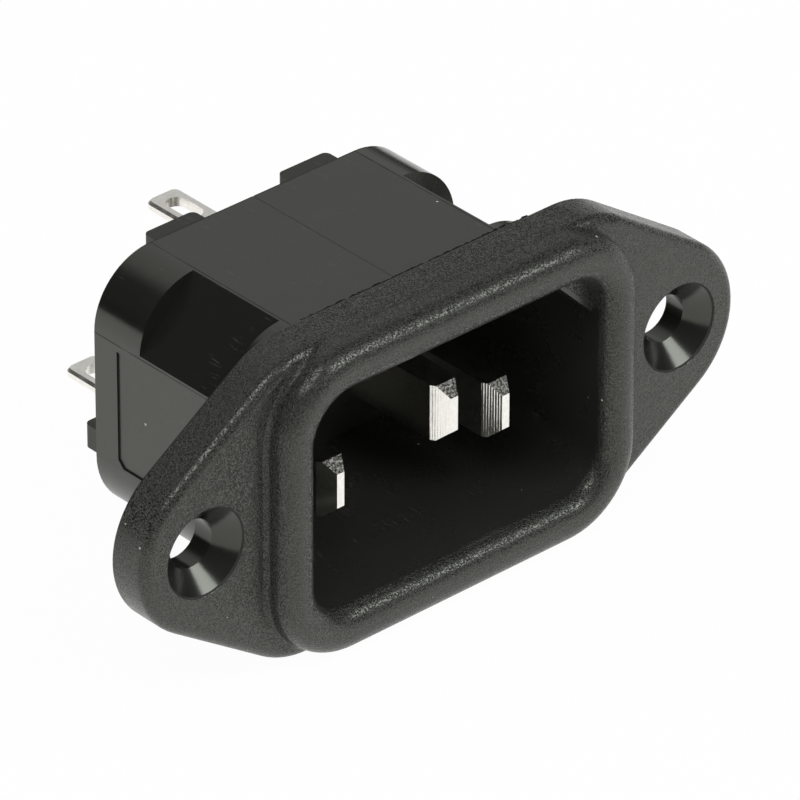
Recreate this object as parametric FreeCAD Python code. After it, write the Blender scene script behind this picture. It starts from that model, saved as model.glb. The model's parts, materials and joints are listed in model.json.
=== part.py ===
"""Panel inlet socket, C14 pattern, for screw mounting from the front.

Millimetres. X runs across the flange, Y runs back through the panel, Z is up.
The origin is on the seating face at the back of the flange, midway between the
two screw holes: the flange lies in front of it (Y < 0) and the body behind it.

Pieces: one moulded housing (flange, bezel, shroud and rear block in one), and
three pressed contacts, each with its blade and solder tail in one piece.
"""
import FreeCAD, Part
import math
import os

from FreeCAD import Vector

# ---------------------------------------------------------------- flange
HOLE_SPACING = 40.0            # between the two screw holes
SCREW_HOLE_D = 3.4             # clearance for an M3 screw
COUNTERSINK_D = 6.3            # at the front face
COUNTERSINK_ANGLE = 90.0       # included angle, degrees
FLANGE_LENGTH = 50.0
FLANGE_RIM = 0.05              # the flange stands this much above and below the bezel
FLANGE_THICKNESS = 3.0
FLANGE_EDGE_R = 0.75           # rounding of the front edge
EAR_R = 6.3                    # round end of each ear
EAR_FLANK_ANGLE = 34.0         # slope of the straight flanks, degrees
FLANGE_CORNER_R = 6.5          # between a flank and the flat top or bottom

# ---------------------------------------------------------------- bezel and mouth
BEZEL_PROJECTION = 1.95        # in front of the flange face
MOUTH_WIDTH = 24.5
MOUTH_HEIGHT = 16.1
MOUTH_CORNER_R = 3.0
LIP_SIDE_WIDTH = 2.8           # from the mouth to the outside of the bezel
LIP_TOP_WIDTH = 3.05           # the same, above and below
LIP_OUTER_R = 1.4              # rounding of the lip towards the flange
LIP_CREST = 0.1                # flat left between the two roundings at the sides
CREASE_R = 0.4                 # hollow at the foot of the bezel

# ---------------------------------------------------------------- cavity
CAVITY_DEPTH = 16.35           # from the bezel's front to the cavity floor
CAVITY_CHAMFER = 3.7           # the two upper corners, behind the mouth

# ---------------------------------------------------------------- body
SIDE_WALL = 1.05               # beside the cavity
TOP_WALL = 1.45                # above and below the cavity
CORNER_WALL = 1.2              # behind the cavity's cut-off upper corners
BODY_LENGTH = 15.45            # behind the seating face
BODY_TOP_R = 4.7
BODY_BOTTOM_R = 5.1
RELIEF_START = 2.9             # flat that follows the cavity's upper corners
RELIEF_END = 11.06
PARTING_GROOVE_WIDTH = 0.12    # witness line of the mould, along the top
PARTING_GROOVE_DEPTH = 0.05

# ---------------------------------------------------------------- label panel
LABEL_DEPTH = 0.12
LABEL_START = 2.2              # behind the seating face
LABEL_END = 13.3
LABEL_TOP = 4.3
LABEL_BOTTOM = -4.2
LABEL_CORNER = 0.5             # cut corners of the panel

# ---------------------------------------------------------------- rear lugs
LUG_LENGTH = 1.75              # out of the rear face
LUG_INSET = 0.48               # below the surface of the body
LUG_THICKNESS = 1.7
LUG_CORNER_R = 0.45
TOP_LUG_OFFSET = 5.62          # centre of each upper lug from the middle
TOP_LUG_WIDTH = 4.2
SIDE_LUG_HEIGHT = -3.8         # level of the middle of each side lug

# ---------------------------------------------------------------- contacts
POLE_SPACING = 14.0            # between the two outer blades
POLE_LEVEL = -1.96
EARTH_LEVEL = 2.04
BLADE_THICKNESS = 2.0
BLADE_HEIGHT = 4.0
POLE_SETBACK = 4.16            # tip behind the front of the bezel
EARTH_SETBACK = 1.34
TIP_SIDE_CHAMFER = 0.7         # on the broad sides
TIP_SIDE_LENGTH = 1.2
TIP_EDGE_CHAMFER = 0.75        # on the narrow sides
TIP_EDGE_LENGTH = 0.85
TAIL_WIDTH = 2.65
TAIL_THICKNESS = 0.7
TAIL_LENGTH = 9.15             # out of the rear face
TAIL_TIP_R = 0.6
TAIL_BEVEL = 0.18
POLE_TAIL_TOP = -4.05          # level of the upper face of each outer tail
EARTH_TAIL_TOP = 5.7
EYE_LENGTH = 2.95
EYE_WIDTH = 1.45
EYE_MARGIN = 0.95              # metal left at the end of the tail
SHOULDER_DEPTH = 1.3           # how far the shoulder sinks into the rear block
CONTACT_FIT = 0.02             # clearance around a pressed-in contact

# ---------------------------------------------------------------- derived places
SEAT_Y = 0.0
FLANGE_FRONT_Y = SEAT_Y - FLANGE_THICKNESS
BEZEL_FRONT_Y = FLANGE_FRONT_Y - BEZEL_PROJECTION
FLOOR_Y = BEZEL_FRONT_Y + CAVITY_DEPTH
REAR_Y = SEAT_Y + BODY_LENGTH
SHOULDER_Y = REAR_Y - SHOULDER_DEPTH
BEZEL_WIDTH = MOUTH_WIDTH + 2 * LIP_SIDE_WIDTH
BEZEL_HEIGHT = MOUTH_HEIGHT + 2 * LIP_TOP_WIDTH
BEZEL_CORNER_R = MOUTH_CORNER_R + LIP_SIDE_WIDTH
LIP_INNER_R = LIP_SIDE_WIDTH - LIP_OUTER_R - LIP_CREST
FLANGE_HEIGHT = BEZEL_HEIGHT + 2 * FLANGE_RIM
BODY_WIDTH = MOUTH_WIDTH + 2 * SIDE_WALL
BODY_HEIGHT = MOUTH_HEIGHT + 2 * TOP_WALL


# ---------------------------------------------------------------- small helpers
def prism(wire, y_from, y_to):
    """Extrude a wire drawn in the plane Y = 0 from one Y to another."""
    face = Part.Face(wire)
    face.translate(Vector(0, y_from, 0))
    return face.extrude(Vector(0, y_to - y_from, 0))


def block(x_from, x_to, y_from, y_to, z_from, z_to):
    corner = Vector(x_from, y_from, z_from)
    return Part.makeBox(x_to - x_from, y_to - y_from, z_to - z_from, corner)


def fillet_corners(points, radii):
    """Closed wire in the plane Y = 0 through (x, z) corners, each with its own radius."""
    count = len(points)
    starts, ends, arcs = [], [], []
    for i in range(count):
        here = Vector(points[i][0], 0, points[i][1])
        before = Vector(points[i - 1][0], 0, points[i - 1][1])
        after = Vector(points[(i + 1) % count][0], 0, points[(i + 1) % count][1])
        to_before = (before - here).normalize()
        to_after = (after - here).normalize()
        if radii[i] <= 0:
            starts.append(here)
            ends.append(here)
            arcs.append(None)
            continue
        half_angle = to_before.getAngle(to_after) / 2
        reach = radii[i] / math.tan(half_angle)
        start = here + to_before * reach
        end = here + to_after * reach
        inward = (to_before + to_after).normalize()
        centre_distance = radii[i] / math.sin(half_angle)
        middle = here + inward * (centre_distance - radii[i])
        starts.append(start)
        ends.append(end)
        arcs.append(Part.Arc(start, middle, end).toShape())
    edges = []
    for i in range(count):
        if arcs[i]:
            edges.append(arcs[i])
        following = starts[(i + 1) % count]
        if ends[i].distanceToPoint(following) > 1e-6:
            edges.append(Part.LineSegment(ends[i], following).toShape())
    return Part.Wire(edges)


def rectangle_outline(width, height, top_r, bottom_r):
    x = width / 2
    z = height / 2
    points = [(-x, -z), (x, -z), (x, z), (-x, z)]
    return fillet_corners(points, [bottom_r, bottom_r, top_r, top_r])


def edges_at_y(shape, y):
    """Edges that lie wholly in the plane at this Y."""
    found = []
    for edge in shape.Edges:
        box = edge.BoundBox
        if abs(box.YMin - y) < 1e-4 and abs(box.YMax - y) < 1e-4:
            found.append(edge)
    return found


# ---------------------------------------------------------------- housing
def flange_outline():
    """Rounded ears, straight flanks, flat top and bottom."""
    flank = math.radians(EAR_FLANK_ANGLE)
    normal_x = math.sin(flank)
    normal_z = math.cos(flank)
    ear_x = FLANGE_LENGTH / 2 - EAR_R
    top = FLANGE_HEIGHT / 2
    # where the flank, tangent to the ear, crosses the flat top
    corner_x = ear_x + (EAR_R - normal_z * top) / normal_x
    # the two flanks of an ear meet on the middle line
    point_x = ear_x + EAR_R / normal_x
    points = [(-corner_x, -top), (corner_x, -top), (point_x, 0),
              (corner_x, top), (-corner_x, top), (-point_x, 0)]
    radii = [FLANGE_CORNER_R, FLANGE_CORNER_R, EAR_R,
             FLANGE_CORNER_R, FLANGE_CORNER_R, EAR_R]
    return fillet_corners(points, radii)


def flange_plate():
    plate = prism(flange_outline(), FLANGE_FRONT_Y, SEAT_Y)
    return plate.makeFillet(FLANGE_EDGE_R, edges_at_y(plate, FLANGE_FRONT_Y))


def bezel_outline():
    return rectangle_outline(BEZEL_WIDTH, BEZEL_HEIGHT, BEZEL_CORNER_R, BEZEL_CORNER_R)


def mouth_prism(y_to):
    """The straight opening from the front of the bezel back to this Y."""
    mouth = rectangle_outline(MOUTH_WIDTH, MOUTH_HEIGHT, MOUTH_CORNER_R, MOUTH_CORNER_R)
    return prism(mouth, BEZEL_FRONT_Y, y_to)


def rim_edges(ring, of_mouth):
    """Front edges of the bezel, either round the mouth or round the outside."""
    found = []
    for edge in edges_at_y(ring, BEZEL_FRONT_Y):
        box = edge.BoundBox
        wide = max(abs(box.XMin), abs(box.XMax)) > MOUTH_WIDTH / 2 + 1e-3
        high = max(abs(box.ZMin), abs(box.ZMax)) > MOUTH_HEIGHT / 2 + 1e-3
        if (wide or high) != of_mouth:
            found.append(edge)
    return found


def bezel_ring():
    ring = prism(bezel_outline(), BEZEL_FRONT_Y, SEAT_Y).cut(mouth_prism(SEAT_Y))
    ring = ring.makeFillet(LIP_OUTER_R, rim_edges(ring, False))
    return ring.makeFillet(LIP_INNER_R, rim_edges(ring, True))


def flange_with_bezel():
    """The two in one, with a small hollow where the bezel stands on the flange."""
    solid = flange_plate().fuse(bezel_ring()).removeSplitter()
    outline = bezel_outline()
    foot = []
    for edge in solid.Edges:
        middle = edge.valueAt((edge.FirstParameter + edge.LastParameter) / 2)
        on_outline = Part.Vertex(middle.x, 0, middle.z).distToShape(outline)[0] < 1e-3
        box = edge.BoundBox
        at_foot = box.YMin > FLANGE_FRONT_Y - 1e-3 and box.YMax < FLANGE_FRONT_Y + FLANGE_EDGE_R
        if on_outline and at_foot:
            foot.append(edge)
    return solid.makeFillet(CREASE_R, foot)


def cavity_outline():
    """Upper corners cut off flat, lower corners rounded as at the mouth."""
    x = MOUTH_WIDTH / 2
    z = MOUTH_HEIGHT / 2
    points = [(-x, -z), (x, -z), (x, z - CAVITY_CHAMFER), (x - CAVITY_CHAMFER, z),
              (CAVITY_CHAMFER - x, z), (-x, z - CAVITY_CHAMFER)]
    radii = [MOUTH_CORNER_R, MOUTH_CORNER_R, 0, 0, 0, 0]
    return fillet_corners(points, radii)


def corner_relief(side):
    """The wedge taken off an upper corner of the shroud, side = -1 or 1."""
    x = BODY_WIDTH / 2
    z = BODY_HEIGHT / 2
    # the flat lies where x + z = flat_sum, one corner wall outside the cavity's own flat
    cavity_sum = (MOUTH_WIDTH + MOUTH_HEIGHT) / 2 - CAVITY_CHAMFER
    flat_sum = cavity_sum + CORNER_WALL * math.sqrt(2)
    spare = 1.0
    points = [Vector(side * (flat_sum - z - spare), 0, z + spare),
              Vector(side * (x + spare), 0, z + spare),
              Vector(side * (x + spare), 0, flat_sum - x - spare)]
    wire = Part.makePolygon(points + points[:1])
    return prism(wire, SEAT_Y + RELIEF_START, SEAT_Y + RELIEF_END)


def body_block():
    outline = rectangle_outline(BODY_WIDTH, BODY_HEIGHT, BODY_TOP_R, BODY_BOTTOM_R)
    body = prism(outline, FLANGE_FRONT_Y, REAR_Y)
    for side in (-1, 1):
        body = body.cut(corner_relief(side))
    return body


def round_far_ends(lug):
    """Rounds the upright edges at the free end of a lug."""
    ends = [e for e in lug.Edges if e.BoundBox.ZLength > 1e-3 and e.BoundBox.YMin > REAR_Y + 1e-3]
    return lug.makeFillet(LUG_CORNER_R, ends)


def rear_lugs():
    """Two lugs on the upper edge of the rear face and one at each side."""
    top = BODY_HEIGHT / 2 - LUG_INSET
    out = BODY_WIDTH / 2 - LUG_INSET
    lugs = []
    for side in (-1, 1):
        middle = side * TOP_LUG_OFFSET
        upper = block(middle - TOP_LUG_WIDTH / 2, middle + TOP_LUG_WIDTH / 2,
                      REAR_Y, REAR_Y + LUG_LENGTH, top - LUG_THICKNESS, top)
        lugs.append(round_far_ends(upper))
        inner, outer = sorted((side * (out - LUG_THICKNESS), side * out))
        flank = block(inner, outer, REAR_Y, REAR_Y + LUG_LENGTH,
                      SIDE_LUG_HEIGHT - LUG_THICKNESS / 2, SIDE_LUG_HEIGHT + LUG_THICKNESS / 2)
        lugs.append(round_far_ends(flank))
    return lugs


def label_recess():
    """Shallow panel in the left side of the body, left bare."""
    outline = [(LABEL_START, LABEL_BOTTOM), (LABEL_END - LABEL_CORNER, LABEL_BOTTOM),
               (LABEL_END, LABEL_BOTTOM + LABEL_CORNER), (LABEL_END, LABEL_TOP),
               (LABEL_START, LABEL_TOP)]
    x = -BODY_WIDTH / 2
    points = [Vector(x, SEAT_Y + y, z) for y, z in outline]
    face = Part.Face(Part.makePolygon(points + points[:1]))
    return face.extrude(Vector(LABEL_DEPTH, 0, 0))


def parting_groove():
    """Fine V groove along the middle of the top, where the mould slides meet."""
    z = BODY_HEIGHT / 2
    points = [Vector(-PARTING_GROOVE_WIDTH / 2, 0, z), Vector(PARTING_GROOVE_WIDTH / 2, 0, z),
              Vector(0, 0, z - PARTING_GROOVE_DEPTH)]
    wire = Part.makePolygon(points + points[:1])
    return prism(wire, SEAT_Y, REAR_Y)


def screw_hole(x):
    """Countersunk clearance hole through an ear."""
    half = math.radians(COUNTERSINK_ANGLE / 2)
    depth = (COUNTERSINK_D - SCREW_HOLE_D) / 2 / math.tan(half)
    centre = Vector(x, FLANGE_FRONT_Y, 0)
    back = Vector(0, 1, 0)
    through = Part.makeCylinder(SCREW_HOLE_D / 2, FLANGE_THICKNESS, centre, back)
    cone = Part.makeCone(COUNTERSINK_D / 2, SCREW_HOLE_D / 2, depth, centre, back)
    return through.fuse(cone)


def housing(contact_places):
    solid = flange_with_bezel().fuse([body_block()] + rear_lugs())
    cuts = [mouth_prism(FLANGE_FRONT_Y), prism(cavity_outline(), FLANGE_FRONT_Y, FLOOR_Y),
            label_recess(), parting_groove()]
    cuts += [screw_hole(side * HOLE_SPACING / 2) for side in (-1, 1)]
    cuts += [contact_slot(x, level, tail_top) for x, level, setback, tail_top in contact_places]
    for cut in cuts:
        solid = solid.cut(cut)
    return solid.removeSplitter()


# ---------------------------------------------------------------- contacts
def shoulder_span(level, tail_top):
    """Lowest and highest level of the shoulder, which joins blade and tail."""
    low = min(level - BLADE_HEIGHT / 2, tail_top - TAIL_THICKNESS)
    high = max(level + BLADE_HEIGHT / 2, tail_top)
    return low, high


def contact_slot(x, level, tail_top):
    """The slot in the rear block for one contact: blade slot and shoulder pocket."""
    half_blade = BLADE_THICKNESS / 2 + CONTACT_FIT
    half_height = BLADE_HEIGHT / 2 + CONTACT_FIT
    half_tail = TAIL_WIDTH / 2 + CONTACT_FIT
    low, high = shoulder_span(level, tail_top)
    slot = block(x - half_blade, x + half_blade, FLOOR_Y, SHOULDER_Y,
                 level - half_height, level + half_height)
    pocket = block(x - half_tail, x + half_tail, SHOULDER_Y, REAR_Y,
                   low - CONTACT_FIT, high + CONTACT_FIT)
    return slot.fuse(pocket)


def blade(x, level, tip_y):
    """Flat blade with a four-sided pointed tip."""
    half_x = BLADE_THICKNESS / 2
    half_z = BLADE_HEIGHT / 2
    bar = block(x - half_x, x + half_x, tip_y, SHOULDER_Y, level - half_z, level + half_z)
    for side in (-1, 1):
        points = [Vector(x + side * half_x, tip_y, 0),
                  Vector(x + side * (half_x - TIP_SIDE_CHAMFER), tip_y, 0),
                  Vector(x + side * half_x, tip_y + TIP_SIDE_LENGTH, 0)]
        wedge = Part.Face(Part.makePolygon(points + points[:1]))
        wedge.translate(Vector(0, 0, level - half_z))
        bar = bar.cut(wedge.extrude(Vector(0, 0, BLADE_HEIGHT)))
        points = [Vector(0, tip_y, level + side * half_z),
                  Vector(0, tip_y, level + side * (half_z - TIP_EDGE_CHAMFER)),
                  Vector(0, tip_y + TIP_EDGE_LENGTH, level + side * half_z)]
        wedge = Part.Face(Part.makePolygon(points + points[:1]))
        wedge.translate(Vector(x - half_x, 0, 0))
        bar = bar.cut(wedge.extrude(Vector(BLADE_THICKNESS, 0, 0)))
    return bar


def tail(x, top):
    """Solder tail with a rounded tip, bevelled edges and an oblong eye."""
    tip_y = REAR_Y + TAIL_LENGTH
    plate = block(x - TAIL_WIDTH / 2, x + TAIL_WIDTH / 2, REAR_Y, tip_y, top - TAIL_THICKNESS, top)
    corners = [e for e in plate.Edges
               if e.BoundBox.ZLength > 1e-3 and e.BoundBox.YMin > tip_y - 1e-3]
    plate = plate.makeFillet(TAIL_TIP_R, corners)
    rim = [e for e in plate.Edges
           if e.BoundBox.ZLength < 1e-3 and e.BoundBox.YMax > REAR_Y + 1e-3]
    plate = plate.makeChamfer(TAIL_BEVEL, rim)
    radius = EYE_WIDTH / 2
    far = tip_y - EYE_MARGIN - radius
    near = far - (EYE_LENGTH - EYE_WIDTH)
    down = Vector(0, 0, -1)
    eye = block(x - radius, x + radius, near, far, top - TAIL_THICKNESS, top)
    for y in (near, far):
        eye = eye.fuse(Part.makeCylinder(radius, TAIL_THICKNESS, Vector(x, y, top), down))
    return plate.cut(eye)


def contact(x, level, setback, tail_top):
    low, high = shoulder_span(level, tail_top)
    shoulder = block(x - TAIL_WIDTH / 2, x + TAIL_WIDTH / 2, SHOULDER_Y, REAR_Y, low, high)
    solid = blade(x, level, BEZEL_FRONT_Y + setback).fuse([shoulder, tail(x, tail_top)])
    return solid.removeSplitter()


# ---------------------------------------------------------------- the model
CONTACTS = {
    "left_contact": (-POLE_SPACING / 2, POLE_LEVEL, POLE_SETBACK, POLE_TAIL_TOP),
    "right_contact": (POLE_SPACING / 2, POLE_LEVEL, POLE_SETBACK, POLE_TAIL_TOP),
    "earth_contact": (0.0, EARTH_LEVEL, EARTH_SETBACK, EARTH_TAIL_TOP),
}


def main():
    os.makedirs("parts", exist_ok=True)
    parts = {"housing": housing(CONTACTS.values())}
    for name, place in CONTACTS.items():
        parts[name] = contact(*place)
    for name, shape in parts.items():
        shape.exportStep("parts/" + name + ".step")
        print(name, "solids", len(shape.Solids), "valid", shape.isValid(),
              "volume", round(shape.Volume, 2))


main()
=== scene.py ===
"""Looks for the C14 panel inlet socket: finishes, a pale floor, soft studio light and the camera.

Metres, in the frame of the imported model: X across the flange, Y back through the panel, Z up.
Y is 0 at the flange's seating face. Procedural patterns work in millimetres, taken from the
object's own coordinates, and names that end in _MM or _PER_MM hold such numbers.
"""

import json
import math

import bmesh
import bpy
from mathutils import Matrix, Vector, noise


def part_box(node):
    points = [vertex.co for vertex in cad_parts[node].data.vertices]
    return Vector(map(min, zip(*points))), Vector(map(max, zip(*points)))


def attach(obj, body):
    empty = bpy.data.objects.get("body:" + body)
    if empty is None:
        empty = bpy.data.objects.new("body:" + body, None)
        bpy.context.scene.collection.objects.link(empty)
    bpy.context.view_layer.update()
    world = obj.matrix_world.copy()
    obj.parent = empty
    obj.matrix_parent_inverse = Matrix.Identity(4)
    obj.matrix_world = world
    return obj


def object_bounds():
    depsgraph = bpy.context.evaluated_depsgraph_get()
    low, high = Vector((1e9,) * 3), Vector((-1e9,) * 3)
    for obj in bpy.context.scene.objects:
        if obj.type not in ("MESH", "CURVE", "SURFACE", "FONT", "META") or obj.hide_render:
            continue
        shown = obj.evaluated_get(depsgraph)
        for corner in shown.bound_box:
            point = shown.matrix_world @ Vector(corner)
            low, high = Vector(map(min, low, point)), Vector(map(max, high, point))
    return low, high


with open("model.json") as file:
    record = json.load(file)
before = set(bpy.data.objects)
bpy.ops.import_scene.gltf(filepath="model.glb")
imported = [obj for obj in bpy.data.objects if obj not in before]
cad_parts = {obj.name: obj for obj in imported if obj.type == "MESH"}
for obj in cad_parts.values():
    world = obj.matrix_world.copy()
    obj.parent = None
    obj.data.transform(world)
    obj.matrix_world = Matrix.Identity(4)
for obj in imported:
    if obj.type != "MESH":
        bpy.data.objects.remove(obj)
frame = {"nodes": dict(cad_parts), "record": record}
CAD_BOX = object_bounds()
MM = 0.001

# ---------------------------------------------------------------- places, from the frame
FLANGE_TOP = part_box("housing")[1].z
SCREWS = next(m for m in frame["record"]["mounts"] if m["name"] == "panel_screws")
HOLE_X_MM = SCREWS["dims"]["spacing_x_mm"] / 2

# ---------------------------------------------------------------- places on the housing
REAR_MM = 15.45                # rear face of the body, where the lugs begin
BODY_HALF_MM = (13.3, 9.5)     # half of the body's width and height
BODY_ROUND_MM = 4.7            # radius of its upper corners
MOUTH_HALF_MM = (12.4, 8.2)    # half of the mouth's width and height, and a little more
CHAMFER_SUM_MM = 17.0          # |x| + z between the cavity's cut-off corners and the body's relief
COUNTERSINK_R_MM = 3.12        # just inside the countersink's rim
SEAT_FRONT_MM = -0.05          # just in front of the seating face
SEAT_FADE_MM = (-0.1, 0.1)     # finishes that only the body has begin here
GRAIN_FADE_MM = (-0.10, -0.04)  # the grain ends here, before the seating face
LIP_FADE_MM = (-4.2, -3.4)     # and here on the way into the mouth
LUG_FADE_MM = (15.47, 15.51)   # behind this is only the lugs' plastic
REAR_MARGIN_MM = 0.03          # keeps the body's finish off its rear face
SKIN_MM = 0.08                 # how far below the top face a line on it still counts
PARTING_SKIN_MM = 0.3          # the same for the witness line, which is a groove

# ---------------------------------------------------------------- black plastic
PLASTIC = (0.0125, 0.0125, 0.0110)
PLASTIC_SHINE = (0.99, 1.0, 0.87)  # tint of its reflections
PLASTIC_SPECULAR = 0.76
SATIN_ROUGHNESS = 0.28         # body and cavity
GRAIN_ROUGHNESS = 0.26         # flange and lip, before the grain's bumps
COUNTERSINK_ROUGHNESS = 0.20
ROUND_ROUGHNESS = (0.15, 0.195)  # the body's upper corners, polished in the mould
ROUND_LEVELS = (0.35, 0.65)    # it follows the blotches between these noise levels
LUG_ROUGHNESS = 0.5
PARTING_ROUGHNESS = 0.7
DARK_LINES_ROUGHNESS = 0.75
UNEVEN_ROUGHNESS = 0.09        # spread that the blotches add to the roughness
RUBBED_ROUGHNESS = 0.12        # and how much a scuff adds

GRAIN_PER_MM = 7.5             # spark-eroded grain
GRAIN_LEVELS = (0.46, 0.65)    # noise levels of its floor and its peaks
GRAIN_DEPTH_MM = 0.05
SPECKS_PER_MM = 9.75           # light and dark points in the grain
SPECK_LEVELS = (0.36, 0.64)
SPECK_SHADES = (0.2, 3.0)      # beside the plain plastic
RIPPLES_PER_MM = 0.6           # slow waves of moulded faces
RIPPLE_DEPTH_MM = 0.02
RIPPLE_STRENGTH = 0.5
BLOTCHES_PER_MM = 0.35

# painted light: the plastic inside the cavity is made paler, lifting the shade that falls in it
CAVITY_PAINTED_LIGHT = 1.7
PARTING_HALF_MM = 0.065        # half the width of the witness line, and a little more
PARTING_PALER = 3.5            # its colour, paler than the plain plastic
EDGE_LINE_MM = 0.10            # dark lines where the polished corners and the rear face begin
EDGE_LEVELS = (0.3, 0.6)       # these lines fade in and out with the blotches
EDGE_STRENGTHS = (0.3, 0.9)
RIM_LINE_MM = 0.10             # a dull, darker line just inside the countersink's rim
DARK_LINES_FACTOR = 0.4            # all these dark lines, beside the plain plastic

RUBBED = (1.0, 1.0, 0.96)      # scuffs
RUBBED_SHARE = 0.05            # how much of that colour a scuff shows
SCUFF_TURN = (0.3, 0.2, 0.5)   # radians
SCUFFS_PER_MM = (5.0, 0.6, 5.0)
SCUFF_LEVELS = (0.60, 0.74)
SCUFF_PATCHES_PER_MM = 0.22
SCUFF_PATCH_LEVELS = (0.45, 0.65)

DUST = (0.55, 0.55, 0.52)
DUST_PER_MM = 0.55
DUST_R_MM = 0.10
DUST_NONE = 0.35               # share of the cells that have no speck

# ---------------------------------------------------------------- plated contacts
METAL = (0.96, 0.94, 0.88)
METAL_DULLER = 0.92            # its darker patches
PATCHES_PER_MM = 3.0
PATCH_LEVELS = (0.35, 0.7)
PATCH_DEPTH_MM = 0.005
PATCH_STRENGTH = 0.4
METAL_ROUGHNESS = 0.13
METAL_UNEVEN = 0.12            # spread of the roughness
STREAKS_PER_MM = (7.0, 7.0, 0.35)  # rolling streaks run up and down
STREAK_DEPTH_MM = 0.012
STREAK_STRENGTH = 0.4

CUT_METAL = (0.62, 0.60, 0.54)  # sheared ends of the blades
CUT_DARKER = 0.06              # torn places on them
CUT_ROUGHNESS = 0.42
TORN_PER_MM = 6.5
TORN_LEVELS = (0.42, 0.62)
TORN_DEPTH_MM = 0.08
TIP_LEAN = 0.3                 # least share of a tip face's normal along each axis it leans to

TINNED_MM = (10.0, 12.0)       # the plating turns duller and softer from here back
TINNED_ROUGHNESS = (0.26, 0.40)  # it follows the tinning's noise
TINNING_PER_MM = 1.6
TINNING_LEVELS = (0.3, 0.7)
TINNING_DEPTH_MM = 0.015
TINNING_STRENGTH = 0.5

TOOL_MARKS_PER_MM = 6.5        # across the sides of the blades' tips
TOOL_MARKS_SWAY = 3.0          # radians that the streaks shift them by
TOOL_MARKS_DEPTH_MM = 0.008
# how strongly each contact shows them
TOOL_MARKS = {"left_contact": 0.03, "earth_contact": 0.06, "right_contact": 0.45}

# ---------------------------------------------------------------- moulding flash
FLASH_HALF_LENGTH = 9.5 * MM
FLASH_REACH = 0.26 * MM
FLASH_SHARES = (0.3, 0.7, 0.7)  # of that reach: the least, the usual, and what raggedness adds
FLASH_THICKNESS = 0.05 * MM
FLASH_WAVE = 0.5 * MM
FLASH_NOISE_ROW = 3.7          # where across the noise its line is read
FLASH_NOISE = (0.6, 2.2, 4)    # its dimension, lacunarity and octaves
FLASH_STEPS = 240
FLASH_ROOT_DROP = 0.2          # its root below the flange's top, in thicknesses
FLASH_TIP_DROP = 0.3           # its tip below the flange's top, in thicknesses
FLASH_SLOPE = 0.15             # and how much lower the tip comes for its reach
FLASH_TORN_PER_MM = 4.0
FLASH_SHADE_LEVELS = (0.56, 0.70)
FLASH_PAINTED_SHADOW_AND_PALE = (0.3, 6.0)      # painted shadow in the dark fin, and pale places, beside the plain plastic
FLASH_ROUGH_LEVELS = (0.3, 0.7)
FLASH_ROUGHNESS = (0.9, 0.6)
FLASH_SPECULAR = 0.2
FLASH_DEPTH_MM = 0.03

# ---------------------------------------------------------------- light and floor
SKY = (158, 30)                # azimuth and elevation of the bright side of the studio
SKY_FADE = (0.74, 0.93)        # cosines of the angle from there, dark to bright
SKY_LEVELS = (0.05, 0.58)      # how reflections show it, beside white at 1
HORIZON_HEIGHT = (0.02, 0.42)  # the sky dims down to the horizon
HORIZON_LEVELS = (0.15, 1.0)
GROUND_HEIGHT = (-0.05, 0.01)  # reflections show the pale floor below this
LAMP_COLOUR = (0.94, 0.97, 1.0)
WORLD_LEVEL = 0.35             # even light on the object
FLOOR_RADIUS = 0.16
FLOOR_SIDES = 96
FLOOR_COLOUR = (0.86, 0.86, 0.86)
FLOOR_ROUGHNESS = 0.9
FLOOR_GLOW = 0.97              # share of the floor's look that is plain white, the rest is lit

# ---------------------------------------------------------------- camera
CAMERA_AZIMUTH = -42.06
CAMERA_ELEVATION = 31.87
CAMERA_ROLL = 0.21
CAMERA_DISTANCE = 544.3 * MM
CAMERA_TARGET = Vector((-1.38, -0.06, 2.02)) * MM
CAMERA_LENS = 390.7            # millimetres, as the sensor
CAMERA_SENSOR = 36.0
CAMERA_CLIP = (0.01, 20.0)


# ---------------------------------------------------------------- node helpers
def shade(colour, factor):
    """The colour made `factor` times as bright."""
    return [c * factor for c in colour]


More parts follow.
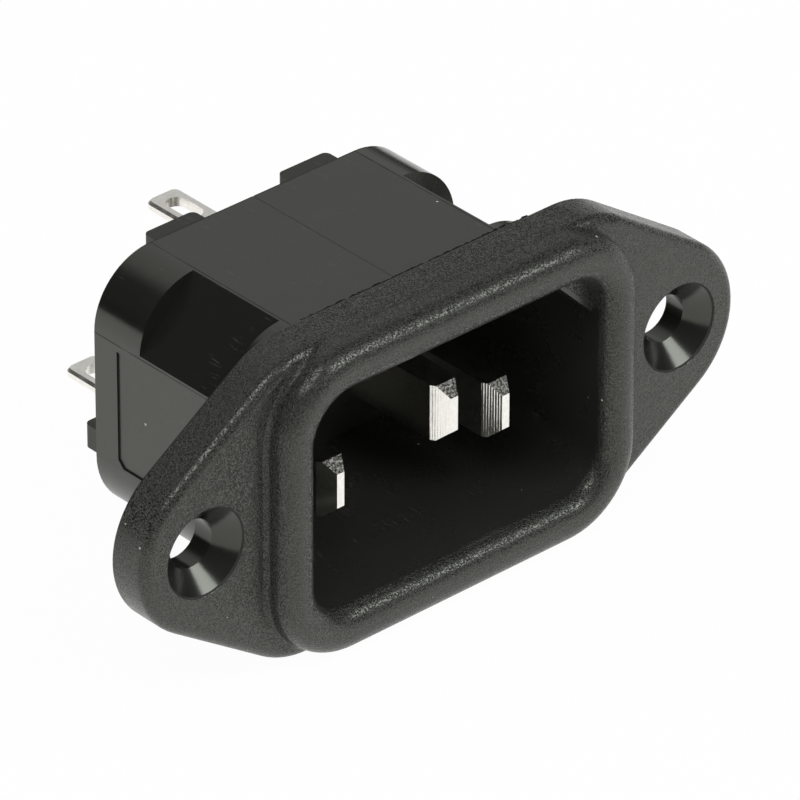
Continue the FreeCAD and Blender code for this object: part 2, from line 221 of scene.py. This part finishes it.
class Material:
    """A material with short calls for the nodes that its pattern needs."""

    def __init__(self, name):
        self.data = bpy.data.materials.new(name)
        self.data.use_nodes = True
        self.tree = self.data.node_tree
        self.shader = self.tree.nodes["Principled BSDF"]

    @classmethod
    def around(cls, tree):
        """The same calls on the node tree of something else, which is cleared first."""
        made = cls.__new__(cls)
        made.tree = tree
        tree.nodes.clear()
        return made

    def put(self, socket, value):
        """Sets a socket to a number or colour, or joins another node's output to it."""
        if isinstance(value, bpy.types.NodeSocket):
            self.tree.links.new(value, socket)
        else:
            socket.default_value = value

    def node(self, kind, **settings):
        made = self.tree.nodes.new("ShaderNode" + kind)
        for key, value in settings.items():
            setattr(made, key, value)
        return made

    def math(self, operation, *values):
        made = self.node("Math", operation=operation)
        for socket, value in zip(made.inputs, values):
            self.put(socket, value)
        return made.outputs[0]

    def times(self, *values):
        """The product of two or more numbers."""
        product = values[0]
        for value in values[1:]:
            product = self.math("MULTIPLY", product, value)
        return product

    def millimetres(self):
        """Object coordinates in millimetres: the vector and its X, Y and Z."""
        place = self.node("TexCoord").outputs["Object"]
        scaled = self.node("VectorMath", operation="SCALE")
        self.put(scaled.inputs[0], place)
        scaled.inputs["Scale"].default_value = 1 / MM
        split = self.node("SeparateXYZ")
        self.put(split.inputs[0], scaled.outputs[0])
        return scaled.outputs[0], split.outputs["X"], split.outputs["Y"], split.outputs["Z"]

    def noise(self, vector, per_mm, detail=2.0, roughness=0.5):
        made = self.node("TexNoise")
        self.put(made.inputs["Vector"], vector)
        self.put(made.inputs["Scale"], per_mm)
        self.put(made.inputs["Detail"], detail)
        self.put(made.inputs["Roughness"], roughness)
        return made.outputs["Fac"]

    def ramp(self, value, low, high, to_low=0.0, to_high=1.0):
        """Carries low..high to to_low..to_high, smoothly and clamped."""
        made = self.node("MapRange", interpolation_type="SMOOTHSTEP")
        for socket, number in zip(made.inputs, (value, low, high, to_low, to_high)):
            self.put(socket, number)
        return made.outputs[0]

    def mix(self, factor, first, second):
        """Mixes two numbers."""
        made = self.node("Mix", data_type="FLOAT")
        for socket, value in zip(made.inputs[:1] + made.inputs[2:4], (factor, first, second)):
            self.put(socket, value)
        return made.outputs[0]

    def mix_colour(self, factor, first, second):
        made = self.node("Mix", data_type="RGBA")
        sockets = (made.inputs[0], made.inputs[6], made.inputs[7])
        colours = [v if isinstance(v, bpy.types.NodeSocket) else (*v, 1.0) for v in (first, second)]
        for socket, value in zip(sockets, (factor, *colours)):
            self.put(socket, value)
        return made.outputs[2]

    def bump(self, height, distance_mm, strength=1.0, after=None):
        """The surface raised by `height`, on top of the bumps that `after` already gives it."""
        made = self.node("Bump")
        self.put(made.inputs["Height"], height)
        made.inputs["Distance"].default_value = distance_mm * MM
        self.put(made.inputs["Strength"], strength)
        if after is not None:
            self.put(made.inputs["Normal"], after)
        return made.outputs[0]


# ---------------------------------------------------------------- areas of the housing
def near_screw_hole(m, x, y, z):
    """1 in either countersink, and 1 on the line just inside its rim. 0 behind the flange."""
    aside = m.math("SUBTRACT", m.math("ABSOLUTE", x), HOLE_X_MM)
    radius = m.math("SQRT", m.math("ADD", m.math("POWER", aside, 2.0), m.math("POWER", z, 2.0)))
    in_front = m.math("LESS_THAN", y, SEAT_FRONT_MM)
    inside = m.times(m.math("LESS_THAN", radius, COUNTERSINK_R_MM), in_front)
    outer = m.math("GREATER_THAN", radius, COUNTERSINK_R_MM - RIM_LINE_MM)
    return inside, m.times(inside, outer)


def grained_area(m, x, y, z, hole):
    """1 on the flange and the bezel outside the cavity and the holes, and 1 in the cavity."""
    flange = m.ramp(y, *GRAIN_FADE_MM, 1.0, 0.0)
    in_mouth = m.times(m.math("LESS_THAN", m.math("ABSOLUTE", x), MOUTH_HALF_MM[0]),
                       m.math("LESS_THAN", m.math("ABSOLUTE", z), MOUTH_HALF_MM[1]))
    behind_lip = m.ramp(y, *LIP_FADE_MM)
    under_chamfer = m.math("LESS_THAN", m.math("ADD", m.math("ABSOLUTE", x), z), CHAMFER_SUM_MM)
    cavity = m.times(in_mouth, behind_lip, under_chamfer)
    outside = m.times(m.math("SUBTRACT", 1.0, cavity), m.math("SUBTRACT", 1.0, hole))
    return m.times(flange, outside), cavity


def parting_line(m, x, y, z):
    """1 in the witness line along the top of the body."""
    across = m.math("LESS_THAN", m.math("ABSOLUTE", x), PARTING_HALF_MM)
    behind_flange = m.math("GREATER_THAN", y, 0.0)
    on_top = m.math("GREATER_THAN", z, BODY_HALF_MM[1] - PARTING_SKIN_MM)
    return m.times(across, behind_flange, on_top)


def polished_round(m, x, y, z):
    """1 on the rounded upper corners of the body, and 1 on the lines where they begin."""
    aside = m.math("SUBTRACT", m.math("ABSOLUTE", x), BODY_HALF_MM[0] - BODY_ROUND_MM)
    above = m.math("SUBTRACT", z, BODY_HALF_MM[1] - BODY_ROUND_MM)
    inward = m.math("MINIMUM", aside, above)
    body = m.times(m.math("GREATER_THAN", y, 0.0),
                   m.math("LESS_THAN", y, REAR_MM - REAR_MARGIN_MM))
    polished = m.times(body, m.ramp(inward, 0.0, EDGE_LINE_MM))
    line = m.math("COMPARE", inward, 0.0, EDGE_LINE_MM / 2)
    return polished, m.times(body, line)


def rear_edge_line(m, y, z):
    """1 on the line where the top of the body meets its rear face and the upper lugs' roots."""
    on_skin = m.math("GREATER_THAN", z, BODY_HALF_MM[1] - SKIN_MM)
    return m.times(m.math("COMPARE", y, REAR_MM, EDGE_LINE_MM), on_skin)


def dust(m, place):
    """1 on a few pale specks, at most one to a cell."""
    cells = m.node("TexVoronoi")
    m.put(cells.inputs["Vector"], place)
    m.put(cells.inputs["Scale"], DUST_PER_MM)
    chance = m.node("SeparateColor")
    m.put(chance.inputs[0], cells.outputs["Color"])
    reach = m.times(chance.outputs[1], DUST_R_MM * DUST_PER_MM)
    near = m.math("LESS_THAN", cells.outputs["Distance"], reach)
    return m.times(near, m.math("GREATER_THAN", chance.outputs[0], DUST_NONE))


def scuffs(m, place):
    """0 to 1: short faint rubs, mostly along the body."""
    turned = m.node("Mapping")
    m.put(turned.inputs["Vector"], place)
    turned.inputs["Rotation"].default_value = SCUFF_TURN
    turned.inputs["Scale"].default_value = SCUFFS_PER_MM
    lines = m.ramp(m.noise(turned.outputs[0], 1.0, detail=3.0, roughness=0.7), *SCUFF_LEVELS)
    patches = m.ramp(m.noise(place, SCUFF_PATCHES_PER_MM), *SCUFF_PATCH_LEVELS)
    return m.times(lines, patches)


# ---------------------------------------------------------------- finishes
def housing_plastic():
    m = Material("housing_plastic")
    place, x, y, z = m.millimetres()
    hole, rim_line = near_screw_hole(m, x, y, z)
    grained, cavity = grained_area(m, x, y, z, hole)
    polished, round_line = polished_round(m, x, y, z)
    parting = parting_line(m, x, y, z)
    behind_seat = m.ramp(y, *SEAT_FADE_MM)
    rubbed = m.times(scuffs(m, place), behind_seat)
    blotches = m.noise(place, BLOTCHES_PER_MM, detail=4.0, roughness=0.6)
    edges = m.math("MAXIMUM", round_line, rear_edge_line(m, y, z))
    edges = m.times(edges, m.ramp(blotches, *EDGE_LEVELS, *EDGE_STRENGTHS))
    dark_lines = m.math("MAXIMUM", rim_line, edges)

    uneven = m.times(m.math("SUBTRACT", blotches, 0.5), UNEVEN_ROUGHNESS)
    uneven = m.math("ADD", uneven, m.times(rubbed, RUBBED_ROUGHNESS))
    rough = m.mix(grained, m.math("ADD", SATIN_ROUGHNESS, uneven),
                  m.math("ADD", GRAIN_ROUGHNESS, uneven))
    for area, roughness in (
            (hole, COUNTERSINK_ROUGHNESS),
            (polished, m.ramp(blotches, *ROUND_LEVELS, *ROUND_ROUGHNESS)),
            (m.ramp(y, *LUG_FADE_MM), LUG_ROUGHNESS),
            (parting, PARTING_ROUGHNESS),
            (dark_lines, DARK_LINES_ROUGHNESS)):
        rough = m.mix(area, rough, roughness)
    m.put(m.shader.inputs["Roughness"], rough)

    specks = m.noise(place, SPECKS_PER_MM, detail=1.0)
    dark, pale = (shade(PLASTIC, factor) for factor in SPECK_SHADES)
    colour = PLASTIC
    for area, tint in (
            (grained, m.mix_colour(m.ramp(specks, *SPECK_LEVELS), dark, pale)),
            # painted light: paler colour in the cavity stands in for light reaching into it
            (cavity, shade(PLASTIC, CAVITY_PAINTED_LIGHT)),
            (parting, shade(PLASTIC, PARTING_PALER)),
            (m.times(rubbed, RUBBED_SHARE), RUBBED),
            (dark_lines, shade(PLASTIC, DARK_LINES_FACTOR)),
            (dust(m, place), DUST)):
        colour = m.mix_colour(area, colour, tint)
    m.put(m.shader.inputs["Base Color"], colour)
    m.shader.inputs["Specular IOR Level"].default_value = PLASTIC_SPECULAR
    m.shader.inputs["Specular Tint"].default_value = (*PLASTIC_SHINE, 1.0)

    grain = m.noise(place, GRAIN_PER_MM, roughness=0.6)
    surface = m.bump(m.ramp(grain, *GRAIN_LEVELS), GRAIN_DEPTH_MM, grained)
    waves = m.times(m.math("MAXIMUM", grained, behind_seat), RIPPLE_STRENGTH)
    surface = m.bump(m.noise(place, RIPPLES_PER_MM), RIPPLE_DEPTH_MM, waves, after=surface)
    m.put(m.shader.inputs["Normal"], surface)
    return m.data


def flash_plastic():
    """The torn fin: dull, darkened as painted shadow, with pale places."""
    m = Material("flash_plastic")
    place = m.millimetres()[0]
    torn = m.noise(place, FLASH_TORN_PER_MM)
    # painted shadow: the fin's darker colour stands in for the shadow line along the flange's rear
    # edge
    dark, pale = (shade(PLASTIC, factor) for factor in FLASH_PAINTED_SHADOW_AND_PALE)
    colour = m.mix_colour(m.ramp(torn, *FLASH_SHADE_LEVELS), dark, pale)
    m.put(m.shader.inputs["Base Color"], colour)
    m.put(m.shader.inputs["Roughness"], m.ramp(torn, *FLASH_ROUGH_LEVELS, *FLASH_ROUGHNESS))
    m.shader.inputs["Specular IOR Level"].default_value = FLASH_SPECULAR
    m.put(m.shader.inputs["Normal"], m.bump(torn, FLASH_DEPTH_MM))
    return m.data


def tip_faces(m):
    """1 on the tip's slopes: those on the narrow edges, which are cut, and those on the sides."""
    faces = m.node("SeparateXYZ")
    m.put(faces.inputs[0], m.node("TexCoord").outputs["Normal"])
    forward = m.math("LESS_THAN", faces.outputs["Y"], -TIP_LEAN)
    upright = m.math("ABSOLUTE", faces.outputs["Z"])
    sideways = m.math("ABSOLUTE", faces.outputs["X"])
    cut = m.times(forward, m.math("GREATER_THAN", upright, TIP_LEAN))
    side = m.times(forward, m.math("GREATER_THAN", sideways, TIP_LEAN))
    return cut, side


def contact_metal(name):
    m = Material(name + "_metal")
    place, _, y, _ = m.millimetres()
    cut, side = tip_faces(m)
    stretched = m.node("Mapping")
    m.put(stretched.inputs["Vector"], place)
    stretched.inputs["Scale"].default_value = STREAKS_PER_MM
    streaks = m.noise(stretched.outputs[0], 1.0, detail=3.0, roughness=0.7)
    patches = m.noise(place, PATCHES_PER_MM, detail=3.0)
    torn = m.noise(place, TORN_PER_MM, detail=4.0, roughness=0.75)
    tinned = m.ramp(y, *TINNED_MM)
    tinning = m.noise(place, TINNING_PER_MM, detail=3.0, roughness=0.6)

    plate = m.mix_colour(m.ramp(patches, *PATCH_LEVELS), shade(METAL, METAL_DULLER), METAL)
    sheared = m.mix_colour(m.ramp(torn, *TORN_LEVELS), shade(CUT_METAL, CUT_DARKER), CUT_METAL)
    m.put(m.shader.inputs["Base Color"], m.mix_colour(cut, plate, sheared))
    m.put(m.shader.inputs["Metallic"], 1.0)

    uneven = m.times(m.math("SUBTRACT", patches, 0.5), METAL_UNEVEN)
    rough = m.math("ADD", METAL_ROUGHNESS, uneven)
    rough = m.mix(tinned, rough, m.ramp(tinning, *TINNING_LEVELS, *TINNED_ROUGHNESS))
    m.put(m.shader.inputs["Roughness"], m.mix(cut, rough, CUT_ROUGHNESS))

    along = m.times(y, 2 * math.pi * TOOL_MARKS_PER_MM)
    marks = m.math("SINE", m.math("ADD", along, m.times(streaks, TOOL_MARKS_SWAY)))
    surface = m.bump(marks, TOOL_MARKS_DEPTH_MM, m.times(side, TOOL_MARKS[name]))
    surface = m.bump(torn, TORN_DEPTH_MM, cut, after=surface)
    surface = m.bump(streaks, STREAK_DEPTH_MM, STREAK_STRENGTH, after=surface)
    surface = m.bump(tinning, TINNING_DEPTH_MM, m.times(tinned, TINNING_STRENGTH), after=surface)
    surface = m.bump(patches, PATCH_DEPTH_MM, PATCH_STRENGTH, after=surface)
    m.put(m.shader.inputs["Normal"], surface)
    return m.data


def dress(node, material):
    for slot in frame["nodes"][node].material_slots:
        slot.material = material


# ---------------------------------------------------------------- moulding flash
def flash_line():
    """A thin ragged fin left by the mould along the upper rear edge of the flange."""
    root = FLANGE_TOP - FLASH_ROOT_DROP * FLASH_THICKNESS
    tip = FLANGE_TOP - FLASH_TIP_DROP * FLASH_THICKNESS
    least, usual, added = FLASH_SHARES
    mesh = bmesh.new()
    ring_before = None
    for step in range(FLASH_STEPS + 1):
        x = FLASH_HALF_LENGTH * (2 * step / FLASH_STEPS - 1)
        ragged = noise.fractal(Vector((x / FLASH_WAVE, FLASH_NOISE_ROW, 0.0)), *FLASH_NOISE)
        reach = FLASH_REACH * max(least, usual + added * ragged)
        ring = [mesh.verts.new(point) for point in (
            (x, -FLASH_THICKNESS, root),
            (x, reach, tip - FLASH_SLOPE * reach),
            (x, -FLASH_THICKNESS, FLANGE_TOP - FLASH_THICKNESS))]
        if ring_before:
            for a in range(3):
                b = (a + 1) % 3
                mesh.faces.new((ring_before[a], ring_before[b], ring[b], ring[a]))
        else:
            mesh.faces.new(ring)
        ring_before = ring
    mesh.faces.new(reversed(ring_before))
    bmesh.ops.recalc_face_normals(mesh, faces=mesh.faces)
    data = bpy.data.meshes.new("flash_line")
    mesh.to_mesh(data)
    mesh.free()
    piece = bpy.data.objects.new("flash_line", data)
    bpy.context.scene.collection.objects.link(piece)
    data.materials.append(flash_plastic())
    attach(piece, "root")


# ---------------------------------------------------------------- studio
def direction(azimuth, elevation):
    """Unit vector from the object: azimuth 0 is in front (towards -Y), 90 is to the right (+X)."""
    a = math.radians(azimuth)
    e = math.radians(elevation)
    return Vector((math.sin(a) * math.cos(e), -math.cos(a) * math.cos(e), math.sin(e)))


def softbox(name, azimuth, elevation, distance, width, height, level):
    """Area light aimed at the object. A white surface that faces it renders at about `level`."""
    lamp = bpy.data.lights.new(name, "AREA")
    lamp.shape = "RECTANGLE"
    lamp.size = width
    lamp.size_y = height
    lamp.color = LAMP_COLOUR
    lamp.energy = level * (math.pi * distance) ** 2
    holder = bpy.data.objects.new(name, lamp)
    away = direction(azimuth, elevation)
    holder.location = away * distance
    holder.rotation_euler = away.to_track_quat("Z", "Y").to_euler()
    bpy.context.scene.collection.objects.link(holder)


def pale_world():
    """Even light, plain white to the camera. Reflections show a studio that is bright at SKY."""
    world = bpy.data.worlds.new("studio")
    bpy.context.scene.world = world
    world.use_nodes = True
    m = Material.around(world.node_tree)
    ahead = m.node("TexCoord").outputs["Generated"]
    towards = m.node("VectorMath", operation="DOT_PRODUCT")
    m.put(towards.inputs[0], ahead)
    towards.inputs[1].default_value = direction(*SKY)
    split = m.node("SeparateXYZ")
    m.put(split.inputs[0], ahead)
    height = split.outputs["Z"]
    sky = m.ramp(towards.outputs["Value"], *SKY_FADE, *SKY_LEVELS)
    sky = m.times(sky, m.ramp(height, *HORIZON_HEIGHT, *HORIZON_LEVELS))
    sky = m.math("MAXIMUM", sky, m.ramp(height, *GROUND_HEIGHT, FLOOR_GLOW, 0.0))
    rays = m.node("LightPath")
    mirrored = m.math("MAXIMUM", rays.outputs["Is Glossy Ray"], rays.outputs["Is Transmission Ray"])
    lit = m.mix(mirrored, WORLD_LEVEL, sky)
    white = m.node("Background")
    m.put(white.inputs["Color"], (1.0, 1.0, 1.0, 1.0))
    m.put(white.inputs["Strength"], m.math("MAXIMUM", lit, rays.outputs["Is Camera Ray"]))
    m.put(m.node("OutputWorld").inputs["Surface"], white.outputs[0])


def pale_floor():
    """A disc at the object's lowest level, nearly white to the camera, which keeps its shadow."""
    turns = [2 * math.pi * step / FLOOR_SIDES for step in range(FLOOR_SIDES)]
    rim = [(FLOOR_RADIUS * math.cos(a), FLOOR_RADIUS * math.sin(a), 0) for a in turns]
    mesh = bpy.data.meshes.new("floor")
    mesh.from_pydata(rim, [], [range(FLOOR_SIDES)])
    floor = bpy.data.objects.new("floor", mesh)
    floor.location.z = CAD_BOX[0].z
    bpy.context.scene.collection.objects.link(floor)
    m = Material("floor")
    m.shader.inputs["Base Color"].default_value = (*FLOOR_COLOUR, 1.0)
    m.shader.inputs["Roughness"].default_value = FLOOR_ROUGHNESS
    m.shader.inputs["Specular IOR Level"].default_value = 0.0
    glow = m.node("Emission")
    glow.inputs["Color"].default_value = (1.0, 1.0, 1.0, 1.0)
    glow.inputs["Strength"].default_value = 1.0
    rays = m.node("LightPath")
    mix = m.node("MixShader")
    seen = m.math("MAXIMUM", rays.outputs["Is Camera Ray"], rays.outputs["Is Glossy Ray"])
    seen = m.math("MAXIMUM", seen, rays.outputs["Is Transmission Ray"])
    m.put(mix.inputs[0], m.times(seen, FLOOR_GLOW))
    m.put(mix.inputs[1], m.shader.outputs[0])
    m.put(mix.inputs[2], glow.outputs[0])
    m.put(m.tree.nodes["Material Output"].inputs["Surface"], mix.outputs[0])
    mesh.materials.append(m.data)


def camera():
    """The photograph's viewpoint, aimed at CAMERA_TARGET and rolled by CAMERA_ROLL."""
    data = bpy.data.cameras.new("camera")
    data.lens = CAMERA_LENS
    data.sensor_width = CAMERA_SENSOR
    data.clip_start, data.clip_end = CAMERA_CLIP
    holder = bpy.data.objects.new("camera", data)
    back = direction(CAMERA_AZIMUTH, CAMERA_ELEVATION)
    level = Vector((0, 0, 1)).cross(back).normalized()
    upright = back.cross(level)
    turn = math.radians(CAMERA_ROLL)
    right = math.cos(turn) * level + math.sin(turn) * upright
    up = back.cross(right)
    holder.matrix_world = Matrix.Translation(CAMERA_TARGET + back * CAMERA_DISTANCE) @ (
        Matrix((right, up, back)).transposed().to_4x4())
    bpy.context.scene.collection.objects.link(holder)
    bpy.context.scene.camera = holder


# ---------------------------------------------------------------- the scene
dress("housing", housing_plastic())
for contact in TOOL_MARKS:
    dress(contact, contact_metal(contact))

pale_world()
softbox("key", azimuth=31, elevation=41, distance=1.6, width=0.90, height=0.85, level=0.55)
softbox("fill", azimuth=-60, elevation=62, distance=1.6, width=0.90, height=0.90, level=0.40)
flash_line()
pale_floor()
camera()
bpy.context.scene.view_settings.view_transform = "Standard"
